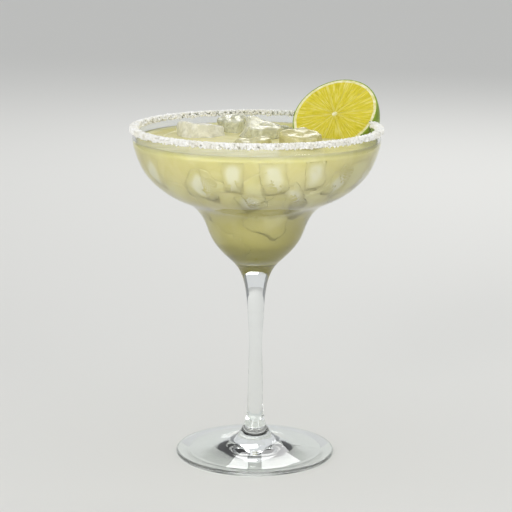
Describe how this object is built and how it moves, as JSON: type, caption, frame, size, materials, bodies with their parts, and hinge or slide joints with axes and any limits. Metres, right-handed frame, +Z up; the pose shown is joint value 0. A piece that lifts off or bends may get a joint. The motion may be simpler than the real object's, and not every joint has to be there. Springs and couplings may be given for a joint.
{
  "type": "margarita cocktail",
  "caption": "Margarita in a stepped long-stemmed glass with a salted lip, floating ice and half a lime slit onto the lip.",
  "frame": {"origin": "middle of the foot's rest plane, on the glass's axis", "axes": "+Z up along the stem; the half lime stands on the lip towards +X and +Y, and its cut face looks towards -X, -Y and up"},
  "size_m": [0.1254, 0.1254, 0.1854],
  "materials": {
    "clear_glass": "clear, fire polished",
    "margarita": "cloudy pale yellow-green liquid",
    "salt": "coarse white grains",
    "lime": "fresh cut lime, wet flesh and waxy green rind",
    "ice": "melting, wet ice"
  },
  "bodies": {
    "root": {"glass": "clear_glass", "drink": "margarita", "salt_rim": "salt", "lime": "lime", "ice_1": "ice", "ice_2": "ice", "ice_3": "ice", "ice_4": "ice", "ice_5": "ice", "ice_6": "ice"}
  },
  "joints": []
}
